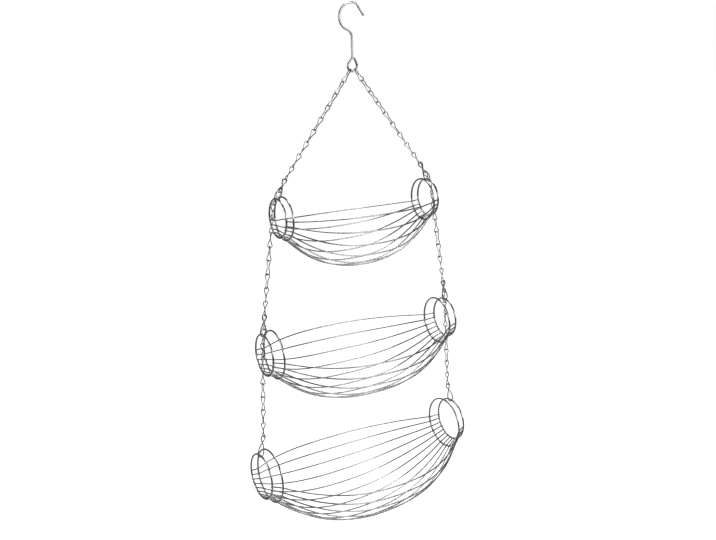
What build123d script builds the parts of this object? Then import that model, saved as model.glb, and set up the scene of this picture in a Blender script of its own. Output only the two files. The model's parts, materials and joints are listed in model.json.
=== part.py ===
from build123d import *
import math
import os

# Three-tier hanging fruit basket of chrome-plated steel wire.
# Millimetres, +Z up. X runs along the baskets, -Y is the front.
# The origin is where the hook's arch bears on the support that holds it.

# Wire diameters
hook_wire = 3.2
link_wire = 1.6
connector_wire = 2.0
ring_wire = 3.0
basket_wire = 2.2

# Hook: arch, reverse bend, straight shank and teardrop eye
arch_radius = 20.2
arch_start = 62.0
arch_end = 250.0
tip_reach = 20.4
tip_rise = 1.3
neck_bend_radius = 10.5
shank_length = 30.8
eye_radius = 7.8
eye_drop = 12.0
eye_tip_gap = 0.3
eye_tip_rise = 12.0

# Chain links: figure-8 loops, a quarter turn between the two
link_pitch = 21.1
link_half_width = 3.4
link_end_half_width = 2.5
link_shoulder = 2.7
link_neck_offset = 1.05
link_cut_gap = 0.8
running_gap = 0.3

# Number of links in each stretch of the chain
upper_links = 9
passing_links = 2
middle_links = 8
lower_links = 7

# The links that pass an end ring lean out and swerve round it
top_pass_lean = 36.5
middle_pass_lean = 13.0
top_pass_swerve = 8.0
middle_pass_swerve = 9.0

# Where a link and a connector share a seat they lie side by side
link_seat_offset = 1.2
connector_seat_offset = 1.0

# Twist of each stretch of chain from its first link to its last
upper_twist = 90.0
middle_twist = 180.0
lower_twist = 180.0

# Connectors: figure-8 links that hang an end ring from the chain
connector_reach = 31.0
connector_upper_half_width = 3.6
connector_lower_half_width = 4.9
connector_crossing = 12.0
connector_strand_offset = 1.15
connector_cut_gap = 1.9
connector_end_share = 0.4
connector_corner_share = 0.75
connector_lower_rise = 1.8
connector_cut_share = 0.15
top_connector_lean = 28.5
middle_connector_lean = 6.1
bottom_connector_lean = 12.5

# Baskets: half the distance between the outer end rings
top_half_length = 132.0
middle_half_length = 164.0
bottom_half_length = 183.2

# The chains pass the middle basket on opposite sides, which turns the bottom one a little
bottom_yaw = 3.0

# End rings, measured to the middle of the wire
top_outer_ring_radius = 29.3
top_inner_ring_radius = 32.5
top_ring_spacing = 9.9
top_ring_drop = 1.9
middle_outer_ring_radius = 31.8
middle_inner_ring_radius = 37.2
middle_ring_spacing = 15.8
middle_ring_drop = 2.3
bottom_outer_ring_radius = 35.0
bottom_inner_ring_radius = 41.5
bottom_ring_spacing = 14.8
bottom_ring_drop = 3.0

# Bowls: half width at the rim, depth below the ring's middle, and the number of wires
top_half_width = 71.5
top_depth = 87.8
top_wire_count = 12
top_rim_drop = 7.1
top_rim_sag = -3.9
top_turn = 8.1
middle_half_width = 91.0
middle_depth = 92.4
middle_wire_count = 13
middle_rim_drop = 2.7
middle_rim_sag = 5.8
middle_turn = -2.2
bottom_half_width = 106.2
bottom_depth = 108.2
bottom_wire_count = 15
bottom_rim_drop = 5.5
bottom_rim_sag = 13.6
bottom_turn = 0.0

# How full the bow of the wires is, seen from above and from the front
top_fullness = (2.4, 2.4)
middle_fullness = (2.4, 2.6)
bottom_fullness = (2.45, 2.35)

# The wires are welded inside the rings and end just past the outer ones
weld_depth = 0.4
wire_end_reach = 1.0

# Straight runs that stand for the bends
arch_step = 16.0
eye_step = 24.0
ring_run_count = 24
wire_run_count = 10
hook_sides = 8
link_sides = 4
wire_sides = 5


def corner_radius(diameter, sides):
    """Corner radius of the regular polygon that has a round wire's area."""
    return diameter / 2 * math.sqrt(2 * math.pi / sides / math.sin(2 * math.pi / sides))


def bent_wire(points, diameter, sides, facing):
    """A wire along straight runs with mitred corners; one flat faces the given way."""
    path = Polyline(*points)
    start = Vector(*points[0])
    along = (Vector(*points[1]) - start).normalized()
    flat = Vector(*facing)
    flat = (flat - along * flat.dot(along)).normalized()
    section = RegularPolygon(corner_radius(diameter, sides), sides, rotation=180 / sides)
    plane = Plane(origin=start, x_dir=flat, z_dir=along)
    return sweep(plane * section, path=path, transition=Transition.RIGHT)


def arc_points(centre, radius, start, end, step):
    """Points on an arc in the XZ plane, evenly spaced, both ends included."""
    count = max(2, round(abs(end - start) / step))
    angles = [math.radians(start + (end - start) * i / count) for i in range(count + 1)]
    return [(centre[0] + radius * math.cos(a), 0, centre[1] + radius * math.sin(a)) for a in angles]


def tangent_angle(point, centre, radius, side):
    """Angle on a circle where the line from an outside point touches it."""
    across = point[0] - centre[0]
    rise = point[1] - centre[1]
    opening = math.degrees(math.acos(radius / math.hypot(across, rise)))
    return math.degrees(math.atan2(rise, across)) + side * opening


# Levels of the hook
arch_level = hook_wire / 2 - arch_radius
arch_foot = (
    arch_radius * math.cos(math.radians(arch_end)),
    arch_level + arch_radius * math.sin(math.radians(arch_end)),
)
bend_centre = (
    arch_foot[0] + neck_bend_radius * math.cos(math.radians(arch_end)),
    arch_foot[1] + neck_bend_radius * math.sin(math.radians(arch_end)),
)
shank_x = bend_centre[0] + neck_bend_radius
eye_top = bend_centre[1] - shank_length
eye_level = eye_top - eye_drop


def hook_points():
    """The hook's middle line from its free tip to the end of the eye."""
    points = [(tip_reach, 0, arch_level + tip_rise)]
    points += arc_points((0, arch_level), arch_radius, arch_start, arch_end, arch_step)
    points += arc_points(bend_centre, neck_bend_radius, arch_end - 180, 0, arch_step)[1:]
    shank_foot = (shank_x, eye_top)
    eye_centre = (shank_x, eye_level)
    eye_tip = (shank_x + hook_wire + eye_tip_gap, eye_level + eye_tip_rise)
    first = tangent_angle(shank_foot, eye_centre, eye_radius, 1)
    last = tangent_angle(eye_tip, eye_centre, eye_radius, -1) + 360
    points.append((shank_x, 0, eye_top))
    points += arc_points(eye_centre, eye_radius, first, last, eye_step)
    points.append((eye_tip[0], 0, eye_tip[1]))
    return points


def link_points():
    """A link's middle line, upper loop in the XZ plane and lower loop in the YZ plane."""
    end = (link_pitch + link_wire + running_gap) / 2
    shoulder = end - link_shoulder
    neck = link_neck_offset * math.sqrt(0.5)
    return [
        (-neck, -neck, link_cut_gap / 2),
        (-link_half_width, 0, shoulder),
        (-link_end_half_width, 0, end),
        (link_end_half_width, 0, end),
        (link_half_width, 0, shoulder),
        (neck, neck, 0),
        (0, link_half_width, -shoulder),
        (0, link_end_half_width, -end),
        (0, -link_end_half_width, -end),
        (0, -link_half_width, -shoulder),
        (-neck, -neck, -link_cut_gap / 2),
    ]


def connector_points(reach):
    """A connector's middle line in its own XZ plane, with the chain's seat at the origin."""
    top = (connector_wire + running_gap) / 2
    bottom = -reach - (ring_wire + connector_wire) / 2 - running_gap
    crossing = top - connector_crossing
    upper = connector_upper_half_width
    lower = connector_lower_half_width
    side = connector_strand_offset
    cut = connector_cut_gap / 2
    end = connector_end_share
    corner = connector_corner_share
    return [
        (-connector_cut_share * upper, -side, crossing + cut),
        (-upper, -side / 2, top - connector_crossing / 2),
        (-corner * upper, 0, top - end * upper),
        (-end * upper, 0, top),
        (end * upper, 0, top),
        (corner * upper, 0, top - end * upper),
        (upper, side / 2, top - connector_crossing / 2),
        (0, side, crossing),
        (-lower, side / 2, bottom + connector_lower_rise * lower),
        (-corner * lower, 0, bottom + end * lower),
        (-end * lower, 0, bottom),
        (end * lower, 0, bottom),
        (corner * lower, 0, bottom + end * lower),
        (lower, -side / 2, bottom + connector_lower_rise * lower),
        (connector_cut_share * lower, -side, crossing - cut),
    ]


def between(start, end, share):
    return tuple(a + (b - a) * share for a, b in zip(start, end))


def chain_links(link, start, end, count, first_turn, turn_step):
    """Copies of one link hung in a straight line from one seat to another."""
    axis = (Vector(*start) - Vector(*end)).normalized()
    depth = Vector(0, 1, 0)
    depth = (depth - axis * depth.dot(axis)).normalized()
    copies = []
    for i in range(count):
        plane = Plane(origin=between(start, end, (i + 0.5) / count), x_dir=depth, z_dir=axis)
        copies.append(plane * Rot(0, 0, first_turn + i * turn_step) * link)
    return copies


def other_side(solid):
    """The right side's piece turned half round, for the left side."""
    return Rot(0, 0, 180) * solid


# Places where the chain carries the connectors
upper_stretch = eye_radius - hook_wire / 2 + upper_links * link_pitch


def seat_above(half_length, lean):
    """Distance from the middle plane of the seat of a connector with this lean."""
    return half_length - connector_reach * math.sin(math.radians(lean))


def drop_to(x_from, y_from, x_to, y_to, length):
    return math.sqrt(length**2 - (x_to - x_from) ** 2 - (y_to - y_from) ** 2)


def passing_end(seat, lean, swerve):
    """Where the links that pass a ring end, leaning out and swerving from the seat."""
    length = passing_links * link_pitch
    x = seat[0] + length * math.sin(math.radians(lean))
    return (x, swerve, seat[2] - drop_to(seat[0], link_seat_offset, x, swerve, length))


def seat_below(start, half_length, lean, count, yaw=0):
    """The next seat, straight down the chain from where it has passed a ring."""
    reach = seat_above(half_length, lean)
    x = reach * math.cos(math.radians(yaw))
    y = reach * math.sin(math.radians(yaw))
    return (x, y, start[2] - drop_to(start[0], start[1], x, y, count * link_pitch))


def ring_top(seat, lean):
    return seat[2] - connector_reach * math.cos(math.radians(lean))


top_seat_x = seat_above(top_half_length, top_connector_lean)
chain_lean = math.asin((top_seat_x - shank_x) / upper_stretch)
eye_seat = (
    shank_x + (eye_radius - hook_wire / 2) * math.sin(chain_lean),
    0,
    eye_level - (eye_radius - hook_wire / 2) * math.cos(chain_lean),
)
top_seat = (top_seat_x, 0, eye_level - upper_stretch * math.cos(chain_lean))
top_pass = passing_end(top_seat, top_pass_lean, top_pass_swerve)
middle_seat = seat_below(top_pass, middle_half_length, middle_connector_lean, middle_links)
middle_pass = passing_end(middle_seat, middle_pass_lean, middle_pass_swerve)
bottom_seat = seat_below(
    middle_pass, bottom_half_length, bottom_connector_lean, lower_links, bottom_yaw
)


def wire_radius(ring_radius):
    """Radius of the circle on which the wires are welded inside a ring."""
    return ring_radius - (ring_wire + basket_wire) / 2 + weld_depth


class Tier:
    """One basket: its rings, its bowed wires and where they lie."""

    def __init__(self, name, half_length, outer, inner, spacing, drop, top_level, yaw=0):
        self.name = name
        self.half_length = half_length
        self.outer = outer
        self.inner = inner
        self.spacing = spacing
        self.drop = drop
        self.axis_level = top_level - outer
        self.yaw = Rot(0, 0, yaw)

    def bowl(self, half_width, depth, wires, rim_drop, rim_sag, turn, fullness):
        self.half_width = half_width
        self.depth = depth
        self.wires = wires
        self.rim_drop = rim_drop
        self.rim_sag = rim_sag
        self.turn = turn
        self.fullness = fullness

    def ring_solid(self, x, radius, level):
        """A closed ring of straight runs round the X axis."""
        middle = radius * 2 / (1 + 1 / math.cos(math.pi / ring_run_count))
        corner = middle / math.cos(math.pi / ring_run_count)
        angles = [2 * math.pi * (i + 0.5) / ring_run_count for i in range(ring_run_count)]
        corners = [(x, corner * math.sin(a), level + corner * math.cos(a)) for a in angles]
        start = (x, 0, level + middle)
        return bent_wire([start] + corners + [start], ring_wire, wire_sides, (0, 0, -1))

    def ring_nodes(self):
        nodes = {}
        inner_x = self.half_length - self.spacing
        for side, sign in (("left", -1), ("right", 1)):
            outer_ring = self.ring_solid(sign * self.half_length, self.outer, self.axis_level)
            inner_ring = self.ring_solid(sign * inner_x, self.inner, self.axis_level - self.drop)
            nodes[f"{self.name}_outer_ring_{side}"] = [self.yaw * outer_ring]
            nodes[f"{self.name}_inner_ring_{side}"] = [self.yaw * inner_ring]
        return nodes

    def wire_points(self, angle):
        """A bowed wire's middle line, at its angle round the ring below the horizontal."""
        cosine = math.cos(math.radians(angle))
        sine = math.sin(math.radians(angle))
        inner_x = self.half_length - self.spacing
        end_radius = wire_radius(self.outer)
        collar_radius = wire_radius(self.inner)
        bow = self.depth - self.drop - self.rim_sag
        points = []
        for i in range(wire_run_count + 1):
            share = 2 * i / wire_run_count - 1
            width_share = 1 - abs(share) ** self.fullness[0]
            depth_share = 1 - abs(share) ** self.fullness[1]
            across = collar_radius + (self.half_width - collar_radius) * width_share
            down = collar_radius + (bow - collar_radius) * depth_share
            level = -self.drop - down * sine - self.rim_sag * depth_share
            points.append((share * inner_x, across * cosine, level))
        end = self.half_length + wire_end_reach
        points.insert(0, (-end, end_radius * cosine, -end_radius * sine))
        points.append((end, end_radius * cosine, -end_radius * sine))
        turn = math.radians(-self.turn)
        turned = []
        for x, y, z in points:
            new_y = y * math.cos(turn) - z * math.sin(turn)
            new_z = y * math.sin(turn) + z * math.cos(turn)
            turned.append((x, new_y, self.axis_level + new_z))
        return turned

    def wire_solid(self, number):
        step = (180 - 2 * self.rim_drop) / (self.wires - 1)
        angle = self.rim_drop + step * number
        turned = math.radians(angle + self.turn)
        facing = (0, math.cos(turned), -math.sin(turned))
        return self.yaw * bent_wire(self.wire_points(angle), basket_wire, wire_sides, facing)

    def wire_nodes(self):
        """The wires in pairs, back and front, counted from the rim; an odd one is the keel."""
        nodes = {}
        for i in range(self.wires // 2):
            pair = [self.wire_solid(i), self.wire_solid(self.wires - 1 - i)]
            nodes[f"{self.name}_wire_pair_{i + 1}"] = pair
        if self.wires % 2:
            nodes[f"{self.name}_keel_wire"] = [self.wire_solid(self.wires // 2)]
        return nodes


top_tier = Tier(
    "top", top_half_length, top_outer_ring_radius, top_inner_ring_radius,
    top_ring_spacing, top_ring_drop, ring_top(top_seat, top_connector_lean),
)
top_tier.bowl(
    top_half_width, top_depth, top_wire_count, top_rim_drop, top_rim_sag, top_turn, top_fullness
)
middle_tier = Tier(
    "middle", middle_half_length, middle_outer_ring_radius, middle_inner_ring_radius,
    middle_ring_spacing, middle_ring_drop, ring_top(middle_seat, middle_connector_lean),
)
middle_tier.bowl(
    middle_half_width, middle_depth, middle_wire_count, middle_rim_drop, middle_rim_sag,
    middle_turn, middle_fullness,
)
bottom_tier = Tier(
    "bottom", bottom_half_length, bottom_outer_ring_radius, bottom_inner_ring_radius,
    bottom_ring_spacing, bottom_ring_drop, ring_top(bottom_seat, bottom_connector_lean),
    bottom_yaw,
)
bottom_tier.bowl(
    bottom_half_width, bottom_depth, bottom_wire_count, bottom_rim_drop, bottom_rim_sag,
    bottom_turn, bottom_fullness,
)


def chain_nodes():
    """Both chains, cut where they bend: first links, then the stretches past each ring."""
    link = bent_wire(link_points(), link_wire, link_sides, (0, 1, 0))
    upper_step = upper_twist / (upper_links - 1)
    middle_step = middle_twist / (middle_links - 1)
    lower_step = lower_twist / (lower_links - 1)
    top_start = (top_seat[0], link_seat_offset, top_seat[2])
    middle_start = (middle_seat[0], link_seat_offset, middle_seat[2])
    upper = chain_links(link, eye_seat, top_seat, upper_links, 0, upper_step)
    past_top = chain_links(link, top_start, top_pass, passing_links, 90, 0)
    middle = chain_links(link, top_pass, middle_seat, middle_links, 90, middle_step)
    past_middle = chain_links(link, middle_start, middle_pass, passing_links, 90, 0)
    lower = chain_links(link, middle_pass, bottom_seat, lower_links, 90, lower_step)
    stretches = {
        "eye_link": upper[:1],
        "upper_chain": upper[1:] + past_top,
        "middle_chain": middle + past_middle,
        "lower_chain": lower,
    }
    nodes = {}
    for name, links in stretches.items():
        nodes[f"{name}_right"] = links
        nodes[f"{name}_left"] = [other_side(each) for each in links]
    return nodes


def connector_nodes():
    """The six connectors, each from its seat in the chain down round its end ring."""
    nodes = {}
    shape = bent_wire(connector_points(connector_reach), connector_wire, wire_sides, (0, -1, 0))
    places = (
        ("top", top_seat, top_connector_lean, -connector_seat_offset, 0),
        ("middle", middle_seat, middle_connector_lean, -connector_seat_offset, 0),
        ("bottom", bottom_seat, bottom_connector_lean, 0, bottom_yaw),
    )
    for name, seat, lean, offset, yaw in places:
        place = Pos(math.hypot(seat[0], seat[1]), offset, seat[2])
        right = Rot(0, 0, yaw) * place * Rot(0, -lean, 0) * shape
        nodes[f"{name}_connector_right"] = [right]
        nodes[f"{name}_connector_left"] = [other_side(right)]
    return nodes


os.makedirs("parts", exist_ok=True)
nodes = {"hook": [bent_wire(hook_points(), hook_wire, hook_sides, (0, 1, 0))]}
nodes.update(chain_nodes())
nodes.update(connector_nodes())
for tier in (top_tier, middle_tier, bottom_tier):
    nodes.update(tier.ring_nodes())
    nodes.update(tier.wire_nodes())

for name, solids in nodes.items():
    solids = [each.solids()[0] if each.solids() else each for each in solids]
    shape = solids[0] if len(solids) == 1 else Compound(children=solids)
    export_step(shape, f"parts/{name}.step")

print("nodes", len(nodes))
print("eye level", round(eye_level, 3), "chain lean", round(math.degrees(chain_lean), 3))
for label, seat in (
    ("eye", eye_seat), ("top", top_seat), ("top pass", top_pass), ("middle", middle_seat),
    ("middle pass", middle_pass), ("bottom", bottom_seat),
):
    print(label, [round(value, 3) for value in seat])
for tier in (top_tier, middle_tier, bottom_tier):
    print(tier.name, "ring axis level", round(tier.axis_level, 3))
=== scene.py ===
# %% [markdown]
# # A hanging fruit basket of chromed wire
#
# Three open wire bowls hang one under the other from a single hook. Nothing on the
# real object is cast, moulded or cut from sheet: it is drawn steel wire, bent, looped
# and spot welded, and then plated with nickel and chrome. So this lesson is about one
# shape, the round wire, and about how polished chrome shows up on a white sweep.
#
# The imported model comes first. It is faceted, and every piece made here takes the
# place of one of its nodes, on the same middle line, so that nothing moves.

# %% Load the imported model
import json
import math
import bpy
import numpy as np
from mathutils import Matrix, Vector

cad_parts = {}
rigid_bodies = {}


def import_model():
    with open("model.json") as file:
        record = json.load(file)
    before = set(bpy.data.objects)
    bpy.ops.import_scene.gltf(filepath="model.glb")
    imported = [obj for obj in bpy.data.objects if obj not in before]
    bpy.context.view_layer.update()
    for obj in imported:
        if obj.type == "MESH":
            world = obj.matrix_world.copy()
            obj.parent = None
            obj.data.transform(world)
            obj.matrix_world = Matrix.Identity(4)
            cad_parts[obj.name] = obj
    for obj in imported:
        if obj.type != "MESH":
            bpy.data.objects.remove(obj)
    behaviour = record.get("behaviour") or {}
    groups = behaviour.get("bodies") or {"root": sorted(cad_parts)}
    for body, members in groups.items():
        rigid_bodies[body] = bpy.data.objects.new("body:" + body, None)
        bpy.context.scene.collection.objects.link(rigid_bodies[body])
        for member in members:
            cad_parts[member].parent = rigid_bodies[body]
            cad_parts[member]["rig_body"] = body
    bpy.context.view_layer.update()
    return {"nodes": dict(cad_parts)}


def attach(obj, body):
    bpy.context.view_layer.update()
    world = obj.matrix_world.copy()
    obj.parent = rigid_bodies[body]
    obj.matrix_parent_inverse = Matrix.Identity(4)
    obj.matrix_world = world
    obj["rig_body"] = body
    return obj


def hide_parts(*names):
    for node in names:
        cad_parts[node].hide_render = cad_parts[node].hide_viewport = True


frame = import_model()
MM = 0.001

# %% [markdown]
# ## The camera
# The photograph looks a little down on the baskets from the front left, from about a
# metre and a half away. The twelve end rings are circles in space, so the ellipses
# that they make in the picture fix the camera: place, aim, tilt and focal length.
# The photograph was cropped, so its line of sight doesn't meet the frame in the middle
# but a little above and to the right of it, and the lens is shifted to match.
# Aiming an empty at the object is quicker, but it can't give a measured tilt. So the
# camera's three axes are worked out from three angles and written as a matrix.

# %% Place the camera
FRAME_WIDTH = 716
CAMERA_PLACE = np.array([-729.6, -1299.7, 14.1]) * MM
CAMERA_TURN, CAMERA_TILT, CAMERA_ROLL = np.radians([29.452, -14.159, -1.374])
FOCAL_PIXELS = 993.4
AXIS_RIGHT_PIXELS, AXIS_RAISED_PIXELS = 1.2, 26.1
SENSOR_MM = 36.0


def add_object(name, data):
    """A new object with its origin at the scene's, in the scene's collection."""
    thing = bpy.data.objects.new(name, data)
    bpy.context.scene.collection.objects.link(thing)
    return thing


def camera_axes(turn, tilt, roll):
    """Right, up and forward. Forward is +Y turned towards +X and then tilted:
    (sin turn * cos tilt, cos turn * cos tilt, sin tilt). The other two roll round it."""
    forward = np.array([math.sin(turn) * math.cos(tilt), math.cos(turn) * math.cos(tilt), math.sin(tilt)])
    right = np.array([math.cos(turn), -math.sin(turn), 0.0])
    up = np.cross(right, forward)
    rolled_right = math.cos(roll) * right + math.sin(roll) * up
    rolled_up = math.cos(roll) * up - math.sin(roll) * right
    return rolled_right, rolled_up, forward


right, up, forward = camera_axes(CAMERA_TURN, CAMERA_TILT, CAMERA_ROLL)
lens = bpy.data.cameras.new("photo_camera")
lens.sensor_width = SENSOR_MM
lens.sensor_fit = "HORIZONTAL"
lens.lens = FOCAL_PIXELS / FRAME_WIDTH * SENSOR_MM
lens.shift_x = -AXIS_RIGHT_PIXELS / FRAME_WIDTH
lens.shift_y = -AXIS_RAISED_PIXELS / FRAME_WIDTH
camera = add_object("photo_camera", lens)
pose = np.eye(4)
pose[:3, 0], pose[:3, 1], pose[:3, 2], pose[:3, 3] = right, up, -forward, CAMERA_PLACE
camera.matrix_world = Matrix(pose.tolist())
bpy.context.scene.camera = camera
print("lens", round(lens.lens, 2), "mm")

# %% [markdown]
# ## Measurements
# These are the same measurements that the faceted model is driven by, in millimetres.
# A maker of such baskets would write this list first: the gauges of the wires, the
# shape of the hook, the pitch of the chain, and for each tier its rings and its bowl.
# The straight runs of the faceted model cut its bends short by a few hundredths. So the
# round wire gives up a little at the top of the hook, in the connectors, at the wires'
# ends and round the largest bowl, and then it stays within the same box.

# %% Write down the measurements
HOOK_WIRE, LINK_WIRE, CONNECTOR_WIRE, RING_WIRE, BASKET_WIRE = 3.2, 1.6, 2.0, 3.0, 2.2
ARCH_RADIUS, ARCH_START, ARCH_END, TIP_REACH, TIP_RISE = 20.2, 62.0, 250.0, 20.4, 1.3
NECK_BEND_RADIUS, SHANK_LENGTH, FACET_LOSS = 10.5, 30.8, 0.05
EYE_RADIUS, EYE_DROP, EYE_TIP_GAP, EYE_TIP_RISE = 7.8, 12.0, 0.05, 12.0
LINK_PITCH, LINK_HALF_WIDTH, LINK_END_HALF_WIDTH, LINK_SHOULDER = 21.1, 3.4, 2.5, 2.7
LINK_NECK_OFFSET, LINK_CUT_GAP = 1.05, 0.8
UPPER_LINKS, PASSING_LINKS, MIDDLE_LINKS, LOWER_LINKS = 9, 2, 8, 7
TOP_PASS_LEAN, MIDDLE_PASS_LEAN, TOP_PASS_SWERVE, MIDDLE_PASS_SWERVE = 36.5, 13.0, 8.0, 9.0
LINK_SEAT_OFFSET, CONNECTOR_SEAT_OFFSET = 1.2, 1.0
UPPER_TWIST, MIDDLE_TWIST, LOWER_TWIST = 90.0, 180.0, 180.0
CONNECTOR_REACH, CONNECTOR_UPPER, CONNECTOR_LOWER = 31.0, 3.6, 4.78
CONNECTOR_CROSSING, CONNECTOR_STRAND_OFFSET, CONNECTOR_CUT_GAP = 12.0, 1.15, 1.9
CONNECTOR_LEAN = {"top": 28.5, "middle": 6.1, "bottom": 12.5}
WELD_DEPTH, WIRE_END_REACH = 0.4, 0.8
BASKET_YAW = {"top": 0.0, "middle": 0.0, "bottom": 3.0}
TIERS = {
    "top": dict(
        half_length=132.0, outer=29.3, inner=32.5, spacing=9.9, drop=1.9, half_width=71.5,
        depth=87.8, wires=12, rim_drop=7.1, rim_sag=-3.9, turn=8.1, fullness=(2.4, 2.4),
    ),
    "middle": dict(
        half_length=164.0, outer=31.8, inner=37.2, spacing=15.8, drop=2.3, half_width=91.0,
        depth=92.4, wires=13, rim_drop=2.7, rim_sag=5.8, turn=-2.2, fullness=(2.4, 2.6),
    ),
    "bottom": dict(
        half_length=183.2, outer=35.0, inner=41.5, spacing=14.8, drop=3.0, half_width=105.95,
        depth=108.1, wires=15, rim_drop=5.5, rim_sag=13.6, turn=0.0, fullness=(2.45, 2.35),
    ),
}
print("wires in the bowls", [tier["wires"] for tier in TIERS.values()])

# %% [markdown]
# ## Round wire as a surface of two parameters
# A wire is a circle carried along a path. One parameter runs along the path, the other
# round the circle, and the point is
#
#     path(u) + radius(u) * (cos v * side(u) + sin v * lift(u))
#
# A curve object with a bevel gives the same thing in one click, but its ends are flat
# discs and its frame can flip in a tight loop. Working the grid out as an array keeps
# hold of both: the radius may shrink at a cut end or swell at a weld, and the frame is
# carried along the path without any twist of its own.

# %% Carry a circle along a path
BEVEL_REACH = np.array([0.16, 0.10])
BEVEL_WIDTH = np.array([0.62, 0.9])
STEEP = 0.8


def unit(vectors):
    """Each vector divided by its own length."""
    return vectors / np.linalg.norm(vectors, axis=-1, keepdims=True)


def eased(lines, rounds=1):
    """Lines with their corners eased: each station but the two ends becomes half of itself and a quarter
    of each neighbour, as many rounds over as asked."""
    lines = lines.copy()
    for _ in range(rounds):
        lines[..., 1:-1, :] = (lines[..., :-2, :] + 2 * lines[..., 1:-1, :] + lines[..., 2:, :]) / 4
    return lines


def sections(paths, closed):
    """Directions along each path and, at each station, two directions across it that never twist.
    Each side direction is the one before it with its part along the path taken away."""
    if closed:
        along = unit(np.roll(paths, -1, 1) - np.roll(paths, 1, 1))
    else:
        along = unit(np.gradient(paths, axis=1))
    helper = np.where(np.abs(along[:, 0, 2:]) < STEEP, [0.0, 0.0, 1.0], [0.0, 1.0, 0.0])
    side = unit(np.cross(along[:, 0], helper))
    sides = [side]
    for station in range(1, paths.shape[1]):
        here = along[:, station]
        side = unit(side - here * np.sum(side * here, -1, keepdims=True))
        sides.append(side)
    sides = np.stack(sides, 1)
    return along, sides, np.cross(along, sides)


def round_wire(paths, diameter, facets, closed=False, swell=None):
    """Wires on paths of shape (wires, stations, 3): a circle of the wire's diameter at each station.
    An open wire gets two more stations at each end, where the circle shrinks to a cutter's bevel.
    Their reach and width are shares of the diameter, from the tip inwards."""
    radius = np.full(paths.shape[:2], diameter / 2)
    if swell is not None:
        radius = radius * swell
    if not closed:
        first = unit(paths[:, 0] - paths[:, 1])[:, None]
        last = unit(paths[:, -1] - paths[:, -2])[:, None]
        bevel = BEVEL_REACH[None, :, None] * diameter
        head = paths[:, :1] + first * bevel
        tail = paths[:, -1:] + last * bevel[:, ::-1]
        narrow = np.broadcast_to(BEVEL_WIDTH * diameter / 2, (len(paths), 2))
        paths = np.concatenate([head, paths, tail], 1)
        radius = np.concatenate([narrow, radius, narrow[:, ::-1]], 1)
    along, side, lift = sections(paths, closed)
    turn = np.linspace(0, 2 * np.pi, facets, endpoint=False)[:, None]
    ring = np.cos(turn) * side[:, :, None] + np.sin(turn) * lift[:, :, None]
    grid = paths[:, :, None] + radius[:, :, None, None] * ring
    run = np.linalg.norm(np.diff(paths, axis=1), axis=-1)
    length = np.concatenate([np.zeros((len(paths), 1)), np.cumsum(run, 1)], 1)
    return {"grid": grid, "length": length, "around": math.pi * diameter, "closed": closed}


sample = round_wire(np.linspace([0.0, 0.0, 0.0], [0.0, 0.0, 9.0], 4)[None], BASKET_WIRE, 12)
print("wires, stations, facets and axes of a short piece", sample["grid"].shape)

# %% [markdown]
# ## From grids to meshes
# Each grid becomes quads by index arithmetic: station i and facet j meet station i + 1
# and facet j + 1, with the last facet joined to the first. The cut ends are closed by
# one flat face each, as a cutter leaves them. Every wire also gets a UV map measured in
# metres, along the wire and round it, which the drawing lines of its finish follow.

# %% Put grids into a Blender mesh
def wire_faces(wire):
    """Corner indices of the quads, and of the end caps, of one set of wires."""
    count, stations, facets = wire["grid"].shape[:3]
    rows = np.arange(stations if wire["closed"] else stations - 1)
    base = np.arange(count)[:, None, None] * stations * facets
    here = base + rows[None, :, None] * facets
    there = base + ((rows + 1) % stations)[None, :, None] * facets
    facet = np.arange(facets)
    after = (facet + 1) % facets
    quads = np.stack([here + facet, here + after, there + after, there + facet], -1).reshape(-1, 4)
    if wire["closed"]:
        return quads, np.zeros((0, facets), int)
    start = np.arange(count)[:, None] * stations * facets + facet[::-1]
    end = np.arange(count)[:, None] * stations * facets + (stations - 1) * facets + facet
    return quads, np.concatenate([start, end])


def wire_uv(wire, quads, caps):
    """Millimetres along the wire and round it, for each corner of each face. The last facet of a ring
    ends at the full way round, not back at nought."""
    count, stations, facets = wire["grid"].shape[:3]
    station = (quads // facets) % stations
    along = wire["length"][(quads // (facets * stations)), station]
    around = (quads % facets).astype(float)
    around[:, 1:3][around[:, 1:3] == 0] = facets
    quad_uv = np.stack([along, around / facets * wire["around"]], -1).reshape(-1, 2)
    return np.concatenate([quad_uv, np.zeros((caps.size, 2))])


def make_piece(name, node, wires, material):
    """One mesh object made of several sets of wires, which rides on the body that a node belongs to."""
    points, loops, sizes, uvs = [], [], [], []
    offset = 0
    for wire in wires:
        quads, caps = wire_faces(wire)
        points.append(wire["grid"].reshape(-1, 3))
        loops.append(np.concatenate([quads.ravel(), caps.ravel()]) + offset)
        sizes.append(np.concatenate([np.full(len(quads), 4), np.full(len(caps), caps.shape[1])]))
        uvs.append(wire_uv(wire, quads, caps))
        offset += len(points[-1])
    points, loops, sizes = np.concatenate(points) * MM, np.concatenate(loops), np.concatenate(sizes)
    mesh = bpy.data.meshes.new(name)
    mesh.vertices.add(len(points))
    mesh.vertices.foreach_set("co", points.astype(np.float32).ravel())
    mesh.loops.add(len(loops))
    mesh.loops.foreach_set("vertex_index", loops.astype(np.int32))
    mesh.polygons.add(len(sizes))
    mesh.polygons.foreach_set("loop_start", (np.cumsum(sizes) - sizes).astype(np.int32))
    mesh.polygons.foreach_set("use_smooth", sizes == 4)
    mesh.update(calc_edges=True)
    layer = mesh.uv_layers.new(name="along_the_wire")
    layer.data.foreach_set("uv", (np.concatenate(uvs) * MM).astype(np.float32).ravel())
    mesh.validate()
    mesh.materials.append(material)
    piece = add_object(name, mesh)
    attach(piece, frame["nodes"][node]["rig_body"])
    return piece


print("faces of that piece", [len(faces) for faces in wire_faces(sample)])

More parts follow.
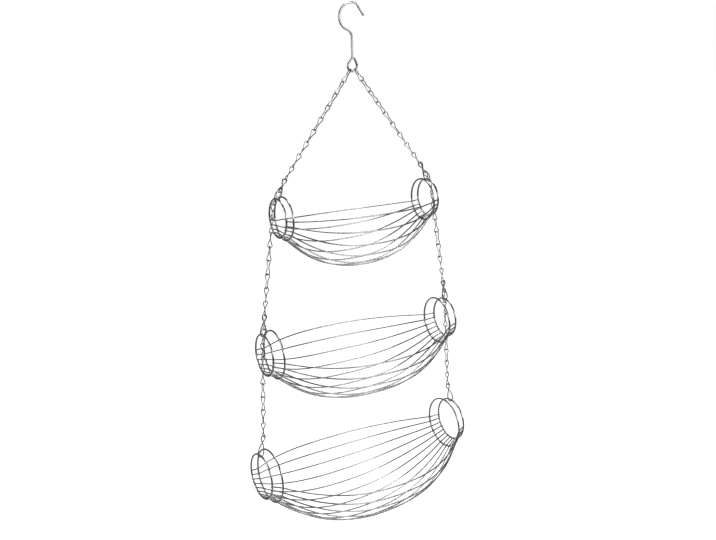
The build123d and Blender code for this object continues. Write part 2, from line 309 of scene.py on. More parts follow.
# %% [markdown]
# ## Polished chrome plate
# Decorative chrome is a film under a thousandth of a millimetre thick over bright
# nickel. It is a mirror: its colour is a cool grey that returns a little over half of
# the light. What tells one piece of chromed wire from another is the wire beneath. The
# die it was drawn through leaves faint lines along it, handling leaves soft haze, and
# around a spot weld the plate is duller. Those three make the node trees below, with
# sizes in millimetres. The lines are really about a hundredth of a millimetre apart.
# They are drawn at a few tenths here, because finer ones can't show in a picture.

# %% Turn written colours into light
def linear(hex_colour):
    """An sRGB hex value as linear light: below 0.04045 divided by 12.92, above it a 2.4 power curve."""
    value = np.array([int(hex_colour[i:i + 2], 16) for i in (1, 3, 5)]) / 255
    light = np.where(value <= 0.04045, value / 12.92, ((value + 0.055) / 1.055) ** 2.4)
    return (*light.tolist(), 1.0)


def empty_tree(owner):
    """The node tree of a material or a world, cleared of what it comes with."""
    owner.use_nodes = True
    owner.node_tree.nodes.clear()
    return owner.node_tree


def add_node(tree, kind, settings=None, inputs=None):
    """A node of a kind, with its settings and with its inputs set to values or linked to sockets."""
    node = tree.nodes.new(kind)
    for key, value in (settings or {}).items():
        setattr(node, key, value)
    for key, value in (inputs or {}).items():
        if isinstance(value, bpy.types.NodeSocket):
            tree.links.new(value, node.inputs[key])
        else:
            node.inputs[key].default_value = value
    return node


print("chrome reflects", [round(v, 2) for v in linear("#c4c6c8")[:3]])


# %% Build the chrome materials
SMEAR_SIZE = 35 * MM
LINE_LENGTH, LINE_SPACING, LINE_RELIEF = 14 * MM, 0.35 * MM, 0.01 * MM


def chromed_steel(name, bright, dull, shine, haze, line_depth):
    """Chrome plate over drawn wire. Smears mix the bright colour with the dull one and raise the
    roughness from shine to haze. Noise drawn out along the wire makes its lines."""
    material = bpy.data.materials.new(name)
    tree = empty_tree(material)
    place = add_node(tree, "ShaderNodeTexCoord")
    wire_map = add_node(tree, "ShaderNodeUVMap", {"uv_map": "along_the_wire"})
    smears = add_node(
        tree, "ShaderNodeTexNoise", None,
        {"Vector": place.outputs["Object"], "Scale": 1 / SMEAR_SIZE, "Detail": 3.0, "Roughness": 0.55},
    )
    stretched = add_node(
        tree, "ShaderNodeMapping", None,
        {"Vector": wire_map.outputs["UV"], "Scale": (1 / LINE_LENGTH, 1 / LINE_SPACING, 1.0)},
    )
    lines = add_node(
        tree, "ShaderNodeTexNoise", None,
        {"Vector": stretched.outputs["Vector"], "Scale": 1.0, "Detail": 2.0, "Roughness": 0.6},
    )
    colour = add_node(
        tree, "ShaderNodeMix", {"data_type": "RGBA"},
        {0: smears.outputs["Fac"], 6: linear(bright), 7: linear(dull)},
    )
    rough = add_node(
        tree, "ShaderNodeMapRange", None,
        {"Value": smears.outputs["Fac"], "From Min": 0.3, "From Max": 0.75, "To Min": shine, "To Max": haze},
    )
    ridges = add_node(
        tree, "ShaderNodeBump", None,
        {"Height": lines.outputs["Fac"], "Strength": line_depth, "Distance": LINE_RELIEF},
    )
    plate = add_node(
        tree, "ShaderNodeBsdfPrincipled", None,
        {
            "Base Color": colour.outputs[2], "Metallic": 1.0,
            "Roughness": rough.outputs["Result"], "Normal": ridges.outputs["Normal"],
        },
    )
    add_node(tree, "ShaderNodeOutputMaterial", None, {"Surface": plate.outputs["BSDF"]})
    return material


hook_chrome = chromed_steel(
    "polished_chrome_on_bent_rod", "#c3c4c5", "#b2b2b1", shine=0.07, haze=0.16, line_depth=0.5,
)
chain_chrome = chromed_steel(
    "bright_chrome_on_jack_chain", "#c8c7c4", "#b6b4b0", shine=0.12, haze=0.24, line_depth=0.8,
)
basket_chrome = chromed_steel(
    "polished_chrome_on_basket_wire", "#c2c4c6", "#b0b1b2", shine=0.1, haze=0.22, line_depth=0.5,
)
weld_chrome = chromed_steel(
    "chrome_over_spot_weld", "#b4b4b4", "#96969a", shine=0.22, haze=0.38, line_depth=1.0,
)
print("finishes", [m.name for m in (hook_chrome, chain_chrome, basket_chrome, weld_chrome)])

# %% [markdown]
# ## Bending wire without a bender
# A bench jig gives a wire smooth bends between straight runs. The faceted model writes
# each bend as corners. A quadratic spline over the same corners starts and ends every
# bend at the middle of a run and is tangent to it there. So where a loop's end run
# carries the next link, the smooth wire lies exactly at the height of the faceted one.

# %% Round a row of corners into a bent wire
def bent(corners, steps):
    """A quadratic Bezier for each inner corner, from the middle of the run before it to the middle of
    the run after it: (1-t)^2 a + 2t(1-t) corner + t^2 b. The first and last half runs stay straight."""
    corners = np.asarray(corners, float)
    middles = (corners[:-1] + corners[1:]) / 2
    t = np.linspace(0, 1, steps, endpoint=False)[:, None, None]
    arcs = (1 - t) ** 2 * middles[:-1] + 2 * t * (1 - t) * corners[1:-1] + t**2 * middles[1:]
    arcs = np.swapaxes(arcs, 0, 1).reshape(-1, 3)
    return np.concatenate([corners[:1], arcs, middles[-1:], corners[-1:]])


def arc(centre, radius, start, end, step):
    """Points on a circle in the XZ plane, angles in degrees from +X towards +Z."""
    angles = np.radians(np.linspace(start, end, max(2, int(abs(end - start) / step)) + 1))
    flat = np.stack([np.cos(angles), np.zeros_like(angles), np.sin(angles)], -1)
    return np.array([centre[0], 0.0, centre[1]]) + radius * flat


print("corners become", len(bent(np.eye(3), 6)), "stations")

# %% [markdown]
# ## The hook
# One rod makes the whole hook: a wide arch that drops over a ceiling hook or a rail,
# a reverse bend that brings the shank back under the middle, the straight shank, and a
# teardrop eye whose cut end lies against the shank. It is a flat curve, so it is laid
# out with arcs and tangents as on paper, and then becomes one round wire.

# %% Bend the hook
HOOK_FACETS = 20
# Degrees from one station to the next in each bend, then stations in each straight run
ARCH_STEP, NECK_STEP, EYE_STEP = 4, 6, 7
TIP_STATIONS, SHANK_STATIONS, EYE_START_STATIONS, EYE_END_STATIONS = 9, 24, 7, 8


def tangent_angle(point, centre, radius, side):
    """Where the line from an outside point touches a circle, as an angle: direction to the point, plus
    or minus the angle whose cosine is radius over distance."""
    across, rise = point[0] - centre[0], point[1] - centre[1]
    opening = math.degrees(math.acos(radius / math.hypot(across, rise)))
    return math.degrees(math.atan2(rise, across)) + side * opening


arch_level = HOOK_WIRE / 2 - ARCH_RADIUS
reverse = ARCH_RADIUS + NECK_BEND_RADIUS
bend_x = reverse * math.cos(math.radians(ARCH_END))
bend_z = arch_level + reverse * math.sin(math.radians(ARCH_END))
shank_x = bend_x + NECK_BEND_RADIUS
eye_top = bend_z - SHANK_LENGTH
eye_level = eye_top - EYE_DROP
eye_tip = (shank_x + HOOK_WIRE + EYE_TIP_GAP, eye_level + EYE_TIP_RISE)
eye_first = tangent_angle((shank_x, eye_top), (shank_x, eye_level), EYE_RADIUS, 1)
eye_last = tangent_angle(eye_tip, (shank_x, eye_level), EYE_RADIUS, -1) + 360
arch = arc((0, arch_level), ARCH_RADIUS, ARCH_START, ARCH_END, ARCH_STEP)
neck = arc((bend_x, bend_z), NECK_BEND_RADIUS, ARCH_END - 180, 0, NECK_STEP)
shank = np.linspace([shank_x, 0, bend_z], [shank_x, 0, eye_top], SHANK_STATIONS)
eye = arc((shank_x, eye_level), EYE_RADIUS, eye_first, eye_last, EYE_STEP)
hook_line = eased(np.concatenate([
    np.linspace([TIP_REACH, 0, arch_level + TIP_RISE], arch[0], TIP_STATIONS)[:-1],
    arch,
    neck[1:],
    shank[1:],
    np.linspace(shank[-1], eye[0], EYE_START_STATIONS)[1:-1],
    eye,
    np.linspace(eye[-1], [eye_tip[0], 0, eye_tip[1]], EYE_END_STATIONS)[1:],
]))
hook_line[:, 2] -= FACET_LOSS
hook = make_piece("plated_hook", "hook", [round_wire(hook_line[None], HOOK_WIRE, HOOK_FACETS)], hook_chrome)
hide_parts("hook")
print("hook stations", len(hook_line), "eye level", round(eye_level, 3), "mm")

# %% [markdown]
# ## The chain
# Each link of a jack chain is one short wire bent to a figure 8 with its two loops a
# quarter turn apart, so that every link hangs at right angles in the next and both of
# its cut ends meet at the waist. Here one link is bent once, and the chains are copies
# of it placed by arrays: a middle, a direction and a turn for every link. Hung links
# touch, so the smooth link, from edge to edge, is two wires longer than its pitch.

# %% Bend one link
LINK_BEND_STEPS, CONNECTOR_BEND_STEPS = 6, 7
# A spline cuts corners, so shoulders, waist and cut ends stand out by these few tenths
SHOULDER_EXTRA, WAIST_FLARE, CUT_FLARE = 0.25, 0.35, 0.5
# The corner near the waist as a share of the shoulder's height, then the cut ends' corner
WAIST_SHARE, CUT_INSET, CUT_RISE = 0.12, 0.8, 1.5


def link_corners():
    """Upper loop in the XZ plane, lower loop in the YZ plane, both half the pitch plus half a wire tall.
    The wire passes the waist a share of the loop's height away, and both cut ends flare out of it."""
    end = (LINK_PITCH + LINK_WIRE) / 2
    shoulder = end - LINK_SHOULDER
    neck = LINK_NECK_OFFSET * math.sqrt(0.5)
    wide = LINK_HALF_WIDTH + SHOULDER_EXTRA
    near = WAIST_SHARE * shoulder
    cut_height = CUT_RISE * near + LINK_CUT_GAP
    return [
        (-neck, -neck, LINK_CUT_GAP / 2), (-neck - CUT_FLARE, -neck * CUT_INSET, cut_height),
        (-wide, 0, shoulder), (-LINK_END_HALF_WIDTH, 0, end),
        (LINK_END_HALF_WIDTH, 0, end), (wide, 0, shoulder),
        (neck + WAIST_FLARE, neck, near), (neck, neck + WAIST_FLARE, -near),
        (0, wide, -shoulder), (0, LINK_END_HALF_WIDTH, -end),
        (0, -LINK_END_HALF_WIDTH, -end), (0, -wide, -shoulder),
        (-neck * CUT_INSET, -neck - CUT_FLARE, -cut_height), (-neck, -neck, -LINK_CUT_GAP / 2),
    ]


link_line = bent(link_corners(), LINK_BEND_STEPS)
link_height = float(np.ptp(link_line[:, 2])) + LINK_WIRE
print("one link", len(link_line), "stations, height", round(link_height, 2), "mm")


# %% Work out where the chain runs
def toward(angle):
    """Unit step in X and down for a lean from the vertical: sin a, cos a."""
    return math.sin(math.radians(angle)), math.cos(math.radians(angle))


def straight_down(x_from, y_from, x_to, y_to, length):
    """Drop of a taut run, from its length and its two level steps: sqrt(length^2 - dx^2 - dy^2)."""
    return math.sqrt(length**2 - (x_to - x_from) ** 2 - (y_to - y_from) ** 2)


seat_x = {
    name: tier["half_length"] - CONNECTOR_REACH * toward(CONNECTOR_LEAN[name])[0]
    for name, tier in TIERS.items()
}
inside_eye = EYE_RADIUS - HOOK_WIRE / 2
upper_length = inside_eye + UPPER_LINKS * LINK_PITCH
chain_lean = math.asin((seat_x["top"] - shank_x) / upper_length)
chain_way = np.array([math.sin(chain_lean), 0, -math.cos(chain_lean)])
eye_seat = np.array([shank_x, 0, eye_level]) + inside_eye * chain_way
top_seat = np.array([seat_x["top"], 0, eye_level - upper_length * math.cos(chain_lean)])
pass_length = PASSING_LINKS * LINK_PITCH


def past_ring(seat, lean, swerve):
    """End of the links that lean out and swerve past an end ring."""
    x = seat[0] + pass_length * toward(lean)[0]
    return np.array([x, swerve, seat[2] - straight_down(seat[0], LINK_SEAT_OFFSET, x, swerve, pass_length)])


def next_seat(start, reach, count, yaw=0.0):
    """The next seat: at its reach from the middle, turned by the basket's yaw, as low as the run allows."""
    x, y = reach * math.cos(math.radians(yaw)), reach * math.sin(math.radians(yaw))
    return np.array([x, y, start[2] - straight_down(start[0], start[1], x, y, count * LINK_PITCH)])


top_pass = past_ring(top_seat, TOP_PASS_LEAN, TOP_PASS_SWERVE)
middle_seat = next_seat(top_pass, seat_x["middle"], MIDDLE_LINKS)
middle_pass = past_ring(middle_seat, MIDDLE_PASS_LEAN, MIDDLE_PASS_SWERVE)
bottom_seat = next_seat(middle_pass, seat_x["bottom"], LOWER_LINKS, BASKET_YAW["bottom"])
seats = {"top": top_seat, "middle": middle_seat, "bottom": bottom_seat}
for name, tier in TIERS.items():
    ring_top = seats[name][2] - CONNECTOR_REACH * toward(CONNECTOR_LEAN[name])[1]
    tier["axis_level"] = ring_top - tier["outer"]
print("ring axis levels", {name: round(tier["axis_level"], 3) for name, tier in TIERS.items()})


# %% Hang copies of the link along a run
def frame_along(start, end):
    """Columns: a level direction nearest +Y as the link's x, its y, and its z up along the run."""
    z = unit(np.asarray(start, float) - np.asarray(end, float))
    x = unit(np.array([0.0, 1.0, 0.0]) - z * z[1])
    return np.stack([x, np.cross(z, x), z], -1)


def hang(line, start, end, count, first_turn, turn_step):
    """Copies of one line: each is turned about its own z, tipped along the run and moved to its middle.
    The middle of link i is start + (end - start) * (i + 0.5) / count."""
    turns = np.radians(first_turn + turn_step * np.arange(count))
    cos, sin, zero, one = np.cos(turns), np.sin(turns), np.zeros(count), np.ones(count)
    rows = [[cos, -sin, zero], [sin, cos, zero], [zero, zero, one]]
    spin = np.stack([np.stack(row, -1) for row in rows], 1)
    middles = np.asarray(start) + (np.asarray(end) - start) * ((np.arange(count) + 0.5) / count)[:, None]
    return np.einsum("ab,cbd,sd->csa", frame_along(start, end), spin, line) + middles[:, None]


def turned(points, degrees):
    """Points turned round the vertical: x cos a - y sin a, x sin a + y cos a, z."""
    cos, sin = math.cos(math.radians(degrees)), math.sin(math.radians(degrees))
    return points @ np.array([[cos, sin, 0], [-sin, cos, 0], [0, 0, 1.0]])


def mirror_half_turn(lines):
    """The other side of the object: the same wires turned half round the vertical."""
    return lines * np.array([-1.0, -1.0, 1.0])


print("the eye links hang from", eye_seat.round(2), "mm")

# %% [markdown]
# The connectors are the same figure 8 at a larger size, of heavier wire and with both
# loops in one plane. The small loop hangs in the chain, the large one carries the ring.

# %% Bend the connectors
CONNECTOR_SIDE = {"top": -CONNECTOR_SEAT_OFFSET, "middle": -CONNECTOR_SEAT_OFFSET, "bottom": 0.0}
CONNECTOR_CUT_SHARE = 0.15
UPPER_CORNER, UPPER_CORNER_DROP, UPPER_END = 0.9, 0.45, 0.45
LOWER_CORNER, LOWER_CORNER_RISE, LOWER_END, LOWER_SIDE_RISE = 0.95, 0.6, 0.4, 2.1


def connector_corners():
    """Upper loop, crossing and lower loop in the XZ plane, with the strands side by side at the waist.
    The corners' places are shares of the half width of the loop that they belong to."""
    top = CONNECTOR_WIRE / 2
    bottom = -CONNECTOR_REACH - (RING_WIRE + CONNECTOR_WIRE) / 2
    waist = top - CONNECTOR_CROSSING
    upper, lower = CONNECTOR_UPPER, CONNECTOR_LOWER
    side, cut = CONNECTOR_STRAND_OFFSET, CONNECTOR_CUT_GAP / 2
    upper_side = top - CONNECTOR_CROSSING / 2
    upper_corner, upper_level = UPPER_CORNER * upper, top - UPPER_CORNER_DROP * upper
    lower_side = bottom + LOWER_SIDE_RISE * lower
    lower_corner, lower_level = LOWER_CORNER * lower, bottom + LOWER_CORNER_RISE * lower
    return [
        (-CONNECTOR_CUT_SHARE * upper, -side, waist + cut), (-upper, -side / 2, upper_side),
        (-upper_corner, 0, upper_level), (-UPPER_END * upper, 0, top),
        (UPPER_END * upper, 0, top), (upper_corner, 0, upper_level),
        (upper, side / 2, upper_side), (0, side, waist), (-lower, side / 2, lower_side),
        (-lower_corner, 0, lower_level), (-LOWER_END * lower, 0, bottom),
        (LOWER_END * lower, 0, bottom), (lower_corner, 0, lower_level),
        (lower, -side / 2, lower_side), (CONNECTOR_CUT_SHARE * lower, -side, waist - cut),
    ]


def place_connector(line, name):
    """The connector leans in its own plane about its seat and stands beside the chain's link there:
    x cos a - z sin a, x sin a + z cos a, with a for the lean."""
    lean = math.radians(CONNECTOR_LEAN[name])
    x = line[:, 0] * math.cos(lean) - line[:, 2] * math.sin(lean)
    z = line[:, 0] * math.sin(lean) + line[:, 2] * math.cos(lean)
    reach = math.hypot(*seats[name][:2])
    placed = np.stack([x + reach, line[:, 1] + CONNECTOR_SIDE[name], z + seats[name][2]], -1)
    return turned(placed, BASKET_YAW[name])


connector_line = bent(connector_corners(), CONNECTOR_BEND_STEPS)
print("one connector", len(connector_line), "stations")

# %% Lay the links and connectors
CHAIN_FACETS = 10
beside = np.array([0.0, LINK_SEAT_OFFSET, 0.0])
upper = hang(link_line, eye_seat, top_seat, UPPER_LINKS, 0, UPPER_TWIST / (UPPER_LINKS - 1))
past_top = hang(link_line, top_seat + beside, top_pass, PASSING_LINKS, 90, 0)
middle = hang(link_line, top_pass, middle_seat, MIDDLE_LINKS, 90, MIDDLE_TWIST / (MIDDLE_LINKS - 1))
past_middle = hang(link_line, middle_seat + beside, middle_pass, PASSING_LINKS, 90, 0)
lower = hang(link_line, middle_pass, bottom_seat, LOWER_LINKS, 90, LOWER_TWIST / (LOWER_LINKS - 1))
stretches = {
    "eye_link": upper[:1],
    "upper_chain": np.concatenate([upper[1:], past_top]),
    "middle_chain": np.concatenate([middle, past_middle]),
    "lower_chain": lower,
}
for name in TIERS:
    stretches[f"{name}_connector"] = place_connector(connector_line, name)[None]
for name, lines in stretches.items():
    gauge = CONNECTOR_WIRE if "connector" in name else LINK_WIRE
    for side_name, placed in (("right", lines), ("left", mirror_half_turn(lines))):
        node = f"{name}_{side_name}"
        piece = make_piece(f"plated_{node}", node, [round_wire(placed, gauge, CHAIN_FACETS)], chain_chrome)
        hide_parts(node)
    print(name, len(lines), "per side")

# %% [markdown]
# ## End rings
# Each basket has a collar at both ends: a small ring and, further in and a little
# lower, a larger one. A ring is a straight wire rolled round a mandrel, cut and butt
# welded. The joint is dressed flush but keeps a slight swelling, so the radius of the
# wire swells there by a narrow bell curve. The joint sits low on the ring, where the
# wires of the bowl hide most of it.

# %% Roll the rings
RING_STATIONS, RING_FACETS = 96, 16
WELD_PLACE, WELD_SPREAD, WELD_SWELL = math.radians(205), math.radians(5), 0.07


def rolled_ring(x, radius, level, yaw):
    """A circle round the X axis: y is radius times sin a, z is level plus radius times cos a.
    The wire's radius is 1 + swell * exp(-(a - weld)^2 / spread^2) of its own."""
    a = np.linspace(0, 2 * np.pi, RING_STATIONS, endpoint=False)
    line = np.stack([np.full_like(a, x), radius * np.sin(a), level + radius * np.cos(a)], -1)
    swell = 1 + WELD_SWELL * np.exp(-(((a - WELD_PLACE) / WELD_SPREAD) ** 2))
    return round_wire(turned(line, yaw)[None], RING_WIRE, RING_FACETS, closed=True, swell=swell[None])


for name, tier in TIERS.items():
    outer_x, outer_level = tier["half_length"], tier["axis_level"]
    inner_x, inner_level = outer_x - tier["spacing"], outer_level - tier["drop"]
    for side_name, sign in (("left", -1), ("right", 1)):
        collar = {
            "outer": rolled_ring(sign * outer_x, tier["outer"], outer_level, BASKET_YAW[name]),
            "inner": rolled_ring(sign * inner_x, tier["inner"], inner_level, BASKET_YAW[name]),
        }
        for place, ring in collar.items():
            node = f"{name}_{place}_ring_{side_name}"
            piece = make_piece(f"plated_{node}", node, [ring], basket_chrome)
            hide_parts(node)
print("rings", 4 * len(TIERS))

# %% [markdown]
# ## The bowed wires
# Every wire of a bowl is the same job on the bench: a short straight end through each
# collar, and between the collars a bow. Seen from above the bow is a superellipse, and
# so it is from the front, fuller than a circle and flatter in the middle. With s from
# -1 to 1 between the inner rings, the distance from the axis is
#
#     ring radius + (full size - ring radius) * (1 - |s| ^ fullness)
#
# A rim wire is nearly all width, the lowest one nearly all depth, and the wires between
# share both by the cosine and sine of their angle round the ring. One array holds all
# wires of a basket, so the bowl is shaped by one formula.

# %% Bow the wires
BOW_STATIONS, END_STATIONS, EASING_ROUNDS, BOWL_FACETS = 81, 8, 3, 12


def bow_shares(count):
    """Shares from -1 to 1, closer together near both ends, where the bow bends most:
    (e + sin(e * pi / 2)) / 2 for even steps e."""
    even = np.linspace(-1, 1, count)
    return (even + np.sin(even * np.pi / 2)) / 2


def bowed_wires(tier):
    """Middle lines of a basket's wires, shape (wires, stations, 3), at even angles round the rings."""
    inside = (RING_WIRE + BASKET_WIRE) / 2 - WELD_DEPTH
    end_radius, collar_radius = tier["outer"] - inside, tier["inner"] - inside
    angles = np.radians(np.linspace(tier["rim_drop"], 180 - tier["rim_drop"], tier["wires"]))[:, None]
    s = bow_shares(BOW_STATIONS)[None, :]
    wide = 1 - np.abs(s) ** tier["fullness"][0]
    deep = 1 - np.abs(s) ** tier["fullness"][1]
    across = collar_radius + (tier["half_width"] - collar_radius) * wide
    down = collar_radius + (tier["depth"] - tier["drop"] - tier["rim_sag"] - collar_radius) * deep
    inner_x = tier["half_length"] - tier["spacing"]
    bow = np.stack([
        s * inner_x + 0 * angles,
        across * np.cos(angles),
        -tier["drop"] - down * np.sin(angles) - tier["rim_sag"] * deep,
    ], -1)
    reach = tier["half_length"] + WIRE_END_REACH
    edge = np.concatenate([reach + 0 * angles, end_radius * np.cos(angles), -end_radius * np.sin(angles)], -1)
    t = np.linspace(0, 1, END_STATIONS, endpoint=False)[None, :, None]
    head = (edge * [-1, 1, 1])[:, None] * (1 - t) + bow[:, :1] * t
    tail = edge[:, None] * (1 - t) + bow[:, -1:] * t
    lines = eased(np.concatenate([head, bow, tail[:, ::-1]], 1), EASING_ROUNDS)
    tip = math.radians(-tier["turn"])
    y = lines[..., 1] * math.cos(tip) - lines[..., 2] * math.sin(tip)
    z = lines[..., 1] * math.sin(tip) + lines[..., 2] * math.cos(tip)
    return np.stack([lines[..., 0], y, z + tier["axis_level"]], -1)


def wire_groups(name, count):
    """Node name and wire numbers: a pair for each place counted from the rim, and the keel if one is left."""
    groups = [(f"{name}_wire_pair_{i + 1}", [i, count - 1 - i]) for i in range(count // 2)]
    return groups + ([(f"{name}_keel_wire", [count // 2])] if count % 2 else [])


for name, tier in TIERS.items():
    tier["lines"] = bowed_wires(tier)
    for node, numbers in wire_groups(name, tier["wires"]):
        lines = turned(tier["lines"][numbers], BASKET_YAW[name])
        wires = round_wire(lines, BASKET_WIRE, BOWL_FACETS)
        piece = make_piece(f"plated_{node}", node, [wires], basket_chrome)
        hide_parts(node)
    print(name, tier["wires"], "wires of", tier["lines"].shape[1], "stations")

# %% [markdown]
# ## Spot welds
# Where a wire crosses a ring, a spot welder presses the two together while a current
# softens them. The wire sinks in a little, and metal squeezed out at both sides sets as
# a small fillet. Under the plating it reads as a soft swelling. There are well over a
# hundred of them, so each is a low lump of a few dozen faces: a flattened sphere, longer
# along the wire than across it, in the corner between the two wires.

# %% Set a fillet at every crossing
LUMP_ALONG, LUMP_ACROSS, LUMP_DEEP = 1.7, 1.5, 0.95
LUMP_LATITUDE, LUMP_RINGS, LUMP_FACETS = 80, 6, 8


def weld_lumps(points, along, outward):
    """Flattened spheres: along the wire, across it, and towards the ring, each scaled on its own axis.
    With a as latitude and b as longitude: along * sin a, across * cos a cos b, deep * cos a sin b."""
    across = unit(np.cross(outward, along))
    outward = np.cross(along, across)
    lat = np.radians(np.linspace(-LUMP_LATITUDE, LUMP_LATITUDE, LUMP_RINGS))[None, :, None, None]
    lon = np.linspace(0, 2 * np.pi, LUMP_FACETS, endpoint=False)[None, None, :, None]
    grid = (
        LUMP_ALONG * np.sin(lat) * along[:, None, None]
        + LUMP_ACROSS * np.cos(lat) * np.cos(lon) * across[:, None, None]
        + LUMP_DEEP * np.cos(lat) * np.sin(lon) * outward[:, None, None]
    )
    grid = grid + points[:, None, None]
    length = np.broadcast_to(np.linspace(0, 2 * LUMP_ALONG, LUMP_RINGS), (len(points), LUMP_RINGS))
    return {"grid": grid, "length": length, "around": 2 * math.pi * LUMP_ACROSS, "closed": False}


def crossings(lines, x):
    """Point and direction of each wire where it passes the plane of a ring. Between the two stations
    before and after the plane, the share of the way is (x - x before) / (x after - x before)."""
    left = np.argmax(lines[..., 0] > x, axis=1) - 1
    row = np.arange(len(lines))
    before, after = lines[row, left], lines[row, left + 1]
    share = ((x - before[:, 0]) / (after[:, 0] - before[:, 0]))[:, None]
    return before + (after - before) * share, unit(after - before)


for name, tier in TIERS.items():
    lumps = []
    inner_x = tier["half_length"] - tier["spacing"]
    for x, drop in ((tier["half_length"], 0.0), (inner_x, tier["drop"])):
        for sign in (-1, 1):
            points, along = crossings(tier["lines"], sign * x)
            outward = unit((points - [0, 0, tier["axis_level"] - drop]) * [0, 1, 1])
            lump = weld_lumps(points + outward * BASKET_WIRE / 2, along, outward)
            lump["grid"] = turned(lump["grid"], BASKET_YAW[name])
            lumps.append(lump)
    welds = make_piece(f"{name}_spot_welds", f"{name}_outer_ring_left", lumps, weld_chrome)
    print(name, sum(len(lump["grid"]) for lump in lumps), "welds")

# %% [markdown]
# ## Studio
# Chrome has no look of its own: it shows the room. On a white sweep with soft lights it
# needs something dark to reflect, or the wire melts into the background. A photographer
# hangs grey cloth round the set. So the world and the floor are white to the eye and to
# reflections. All round stands a glowing sheet that only reflections can see, a painted
# reflection of grey cloth, with one opening behind the object, where the white sweep shows
# in the edges of every wire. Its foot is painted paler, as light bounced from the sweep
# would make it, and that painted light is what brightens the upright parts of the rings.
#
# The lamps are placed by the highlights. A thin wire sends light to the camera only
# where its direction makes the same angle with the line of sight and with the line to
# the lamp. In the photograph those places lie in a band across every basket, which
# puts the main lamp in front, a little to the right and a little above.

# %% Set up the white sweep
FLOOR_LEVEL, FLOOR_HALF = -1.35, 9


def seen_by_eye(tree):
    """1 for camera, glossy and transmission rays, 0 for the soft light on diffuse surfaces."""
    rays = add_node(tree, "ShaderNodeLightPath")
    either = add_node(
        tree, "ShaderNodeMath", {"operation": "MAXIMUM"},
        {0: rays.outputs["Is Camera Ray"], 1: rays.outputs["Is Glossy Ray"]},
    )
    return add_node(
        tree, "ShaderNodeMath", {"operation": "MAXIMUM"},
        {0: either.outputs[0], 1: rays.outputs["Is Transmission Ray"]},
    ).outputs[0]


world = bpy.data.worlds.new("white_sweep")
bpy.context.scene.world = world
tree = empty_tree(world)
white = add_node(tree, "ShaderNodeBackground", None, {"Color": linear("#ffffff"), "Strength": 1.0})
soft = add_node(tree, "ShaderNodeBackground", None, {"Color": linear("#e8eaec"), "Strength": 0.5})
both = add_node(
    tree, "ShaderNodeMixShader", None,
    {0: seen_by_eye(tree), 1: soft.outputs[0], 2: white.outputs[0]},
)
add_node(tree, "ShaderNodeOutputWorld", None, {"Surface": both.outputs[0]})

paper = bpy.data.materials.new("matt_white_paper")
tree = empty_tree(paper)
matt = add_node(tree, "ShaderNodeBsdfDiffuse", None, {"Color": linear("#f4f4f4")})
glow = add_node(tree, "ShaderNodeEmission", None, {"Color": linear("#ffffff"), "Strength": 0.72})
bright = add_node(tree, "ShaderNodeAddShader", None, {0: matt.outputs[0], 1: glow.outputs[0]})
lit = add_node(
    tree, "ShaderNodeMixShader", None,
    {0: seen_by_eye(tree), 1: matt.outputs[0], 2: bright.outputs[0]},
)
add_node(tree, "ShaderNodeOutputMaterial", None, {"Surface": lit.outputs[0]})
corners = [(x * FLOOR_HALF, y * FLOOR_HALF, FLOOR_LEVEL) for x, y in ((-1, -1), (1, -1), (1, 1), (-1, 1))]
floor_mesh = bpy.data.meshes.new("paper_floor")
floor_mesh.from_pydata(corners, [], [(0, 1, 2, 3)])
floor_mesh.materials.append(paper)
floor = add_object("paper_floor", floor_mesh)
print("floor at", FLOOR_LEVEL, "m")


# %% Hang the grey cloth
OBJECT_MIDDLE = np.array([0.0, 0.0, -0.42])
CLOTH_REACH, CLOTH_ABOVE, CLOTH_BELOW = 2.7, 2.2, 0.9
# Degrees up from level, and round from the camera's side to the edge of the window
CLOTH_FOOT, WINDOW_TOP, CLOTH_TOP, WINDOW_SIDE = -88, 30, 80, 155
CLOTH_ROWS, CLOTH_COLUMNS = 26, 36
# Heights in metres and glow, from the foot painted pale as bounced light would make it to the dark rest
PALE_LEVEL, DARK_LEVEL, PAINTED_FOOT_LIGHT, DARK_LIGHT = -1.3, -1.0, 0.3, 0.1


def cloth_wall(middle_angle, half_angle, low, high):
    """Part of an egg round the object: x = reach cos e cos a, y = reach cos e sin a, z = sin e times the
    height above or the depth below. Angle a turns round the object, angle e runs from low to high."""
    angles = np.linspace(middle_angle - half_angle, middle_angle + half_angle, CLOTH_COLUMNS + 1)
    a = np.radians(angles)[None, :]
    e = np.radians(np.linspace(low, high, CLOTH_ROWS + 1))[:, None]
    across = CLOTH_REACH * np.cos(e)
    height = np.where(e > 0, CLOTH_ABOVE, CLOTH_BELOW) * np.sin(e)
    grid = np.stack([across * np.cos(a), across * np.sin(a), height + 0 * a], -1) + OBJECT_MIDDLE
    row, column = np.meshgrid(np.arange(CLOTH_ROWS), np.arange(CLOTH_COLUMNS), indexing="ij")
    first = (row * (CLOTH_COLUMNS + 1) + column).ravel()
    above = first + CLOTH_COLUMNS + 1
    mesh = bpy.data.meshes.new("grey_cloth")
    quads = np.stack([first, first + 1, above + 1, above], -1)
    mesh.from_pydata(grid.reshape(-1, 3).tolist(), [], quads.tolist())
    return mesh


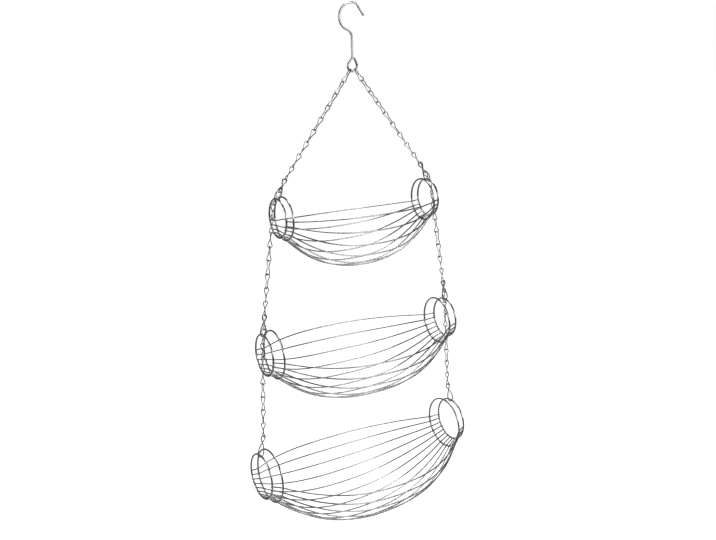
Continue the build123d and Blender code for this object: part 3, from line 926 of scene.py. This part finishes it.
cloth_paint = bpy.data.materials.new("grey_cloth")
tree = empty_tree(cloth_paint)
cloth_place = add_node(tree, "ShaderNodeTexCoord")
cloth_height = add_node(tree, "ShaderNodeSeparateXYZ", None, {"Vector": cloth_place.outputs["Object"]})
# Painted light: the cloth glows more strongly towards its foot, standing in for light bounced from the sweep
cloth_light = add_node(
    tree, "ShaderNodeMapRange", None,
    {
        "Value": cloth_height.outputs["Z"], "From Min": PALE_LEVEL, "From Max": DARK_LEVEL,
        "To Min": PAINTED_FOOT_LIGHT, "To Max": DARK_LIGHT,
    },
)
# The cloth is no lamp, yet it glows: its grey in the chrome is a painted reflection, not lit by the lamps
grey = add_node(
    tree, "ShaderNodeEmission", None,
    {"Color": linear("#ffffff"), "Strength": cloth_light.outputs["Result"]},
)
add_node(tree, "ShaderNodeOutputMaterial", None, {"Surface": grey.outputs[0]})
toward_camera = math.degrees(math.atan2(CAMERA_PLACE[1], CAMERA_PLACE[0]))
for half_angle, low, high in ((WINDOW_SIDE, CLOTH_FOOT, WINDOW_TOP), (180, WINDOW_TOP, CLOTH_TOP)):
    cloth_mesh = cloth_wall(toward_camera, half_angle, low, high)
    cloth_mesh.materials.append(cloth_paint)
    cloth = add_object("grey_cloth", cloth_mesh)
    for sight in ("visible_camera", "visible_diffuse", "visible_transmission", "visible_shadow"):
        setattr(cloth, sight, False)
print("window behind the object", 2 * (180 - WINDOW_SIDE), "degrees wide")


# %% Place the lamps
def soft_lamp(name, direction, distance, width, height, power):
    """A rectangular lamp at a distance from the middle of the object, facing it."""
    light = bpy.data.lights.new(name, "AREA")
    light.shape = "RECTANGLE"
    light.size, light.size_y, light.energy = width, height, power
    lamp = add_object(name, light)
    away = Vector(direction).normalized()
    lamp.location = Vector(OBJECT_MIDDLE.tolist()) + away * distance
    lamp.rotation_euler = (-away).to_track_quat("-Z", "Y").to_euler()


soft_lamp("main_softbox", (0.27, -0.88, 0.36), distance=2.0, width=0.9, height=1.2, power=14)
soft_lamp("hook_softbox", (0.581, -0.756, 0.3), distance=2.06, width=0.7, height=0.4, power=4.5)
soft_lamp("side_softbox", (-0.95, 0.1, 0.25), distance=2.2, width=0.5, height=1.2, power=10)
soft_lamp("top_softbox", (0.1, 0.15, 1.0), distance=1.9, width=0.9, height=0.7, power=12)

# %% [markdown]
# ## Finish
# Every wire keeps its middle line, so the boxes of the imported and the finished
# model should agree to a fraction of a millimetre.

# %% Set the view transform and finish
bpy.context.scene.view_settings.view_transform = "Standard"
bpy.context.view_layer.update()
